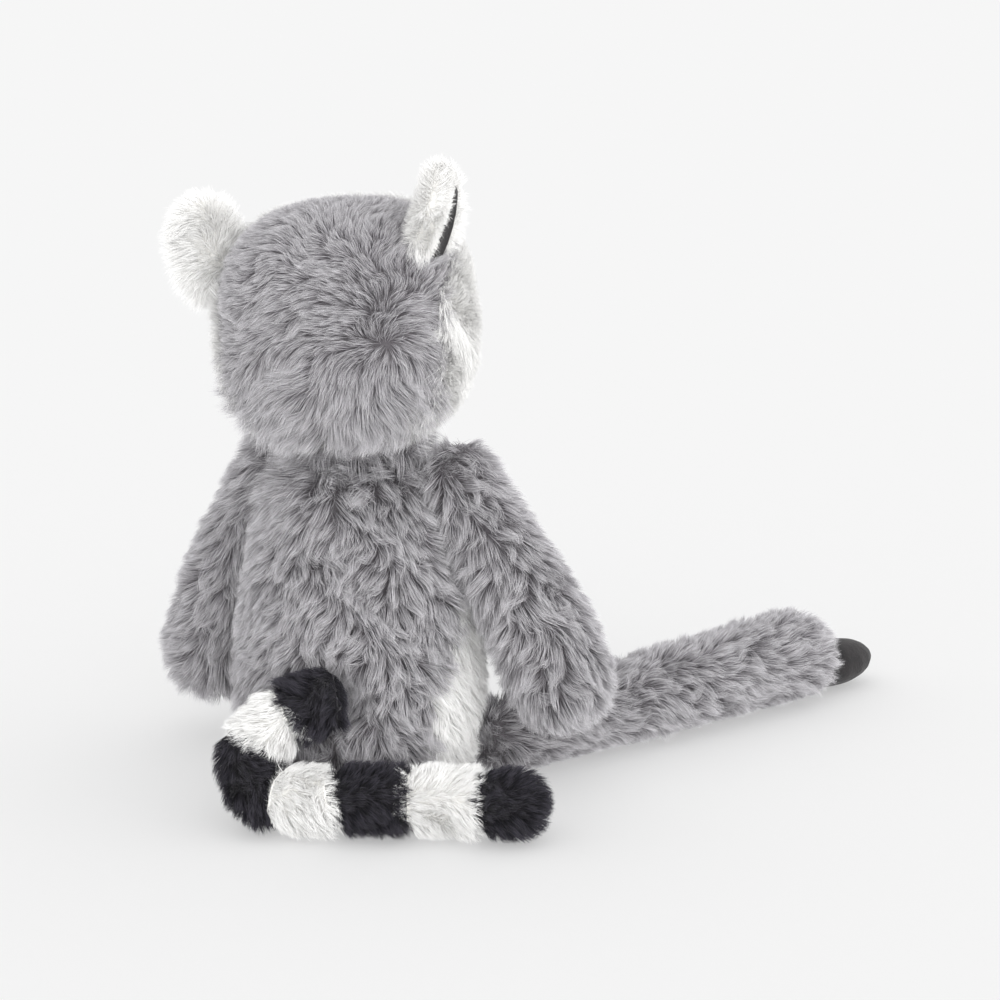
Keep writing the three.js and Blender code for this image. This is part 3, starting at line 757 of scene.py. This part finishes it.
def build_neck():
    """A collar of long upright pile that hides the seam under the head."""
    skin = fused("neck_skin", ["neck_stuffing"], 1.5, 3, MATERIALS["skin"])
    verts, _, _ = arrays(skin)
    middle = centre("neck_stuffing")
    skin.data.vertices.foreach_set("co", (middle + (verts - middle) * np.array(NECK_SPREAD)).ravel())
    skin.data.update()
    set_tone(skin, np.zeros(len(verts)))
    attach(skin, "neck")
    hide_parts("neck_stuffing")
    points, normals, _ = roots_on(skin, 2.4, 61)
    comb = np.tile([0.0, 0.0, -1.0], (len(points), 1)) + normals
    upright = dict(PILE["grey"], stand=0.75, length=15.0)
    grow("neck_pile", points, normals, comb, upright, MATERIALS["grey"], "neck", 62)


# ---- Camera, floor and light ----
def axes():
    a, e = math.radians(CAMERA_AZIMUTH), math.radians(CAMERA_ELEVATION)
    back = Vector((math.sin(a) * math.cos(e), -math.cos(a) * math.cos(e), math.sin(e)))
    right = Vector((math.cos(a), math.sin(a), 0))
    return right, back.cross(right), back


def build_camera():
    right, up, back = axes()
    target = (right * CAMERA_TARGET[0] + up * CAMERA_TARGET[1]) * MM
    data = bpy.data.cameras.new("camera")
    data.angle = math.radians(CAMERA_FOV)
    data.clip_end = 20
    camera = bpy.data.objects.new("camera", data)
    bpy.context.scene.collection.objects.link(camera)
    camera.location = target + back * CAMERA_DISTANCE * MM
    camera.rotation_euler = back.to_track_quat("Z", "Y").to_euler()
    bpy.context.scene.camera = camera


def build_floor():
    mat, nodes, links, shader = new_material("studio_floor")
    shader.inputs["Base Color"].default_value = (0.55, 0.55, 0.55, 1)
    shader.inputs["Roughness"].default_value = 0.4
    shader.inputs["Specular IOR Level"].default_value = 0.0
    shader.inputs["Emission Color"].default_value = (1, 1, 1, 1)
    shader.inputs["Emission Strength"].default_value = FLOOR_GLOW
    corners = [(-9, -9, 0), (9, -9, 0), (9, 9, 0), (-9, 9, 0)]
    floor = object_from("floor", corners, [(0, 1, 2, 3)], mat, False)
    return floor


def area_light(name, place, size, power, floor, aim=(0, 0, 0.1)):
    data = bpy.data.lights.new(name, "AREA")
    data.shape = "RECTANGLE"
    data.size, data.size_y = size
    data.energy = power
    light = bpy.data.objects.new(name, data)
    bpy.context.scene.collection.objects.link(light)
    light.location = place
    light.rotation_euler = (Vector(place) - Vector(aim)).to_track_quat("Z", "Y").to_euler()
    unlit = bpy.data.collections.new(f"{name}_unlit")
    unlit.objects.link(floor)
    light.light_linking.receiver_collection = unlit
    unlit.collection_objects[0].light_linking.link_state = "EXCLUDE"


def build_light(floor):
    world = bpy.data.worlds.new("studio")
    world.use_nodes = True
    world.node_tree.nodes["Background"].inputs["Color"].default_value = (1, 1, 1, 1)
    world.node_tree.nodes["Background"].inputs["Strength"].default_value = 0.95
    bpy.context.scene.world = world
    bpy.context.scene.view_settings.view_transform = "Standard"
    right, up, back = axes()
    level = Vector((back.x, back.y, 0)).normalized()
    area_light("front", tuple(level * 1.9 + Vector((0, 0, 0.5))), (1.8, 0.5), 22, floor)
    area_light("key", tuple(level * 0.7 + right * 1.2 + Vector((0, 0, 1.0))), (0.9, 0.9), 9, floor)


build_camera()
build_light(build_floor())
build_torso()
build_neck()
build_head()
build_ear("left", 101)
build_ear("right", 111)
for number, side in enumerate(("left", "right")):
    build_limb("arm", side, 121 + 10 * number)
    build_limb("leg", side, 141 + 10 * number)
build_tail()
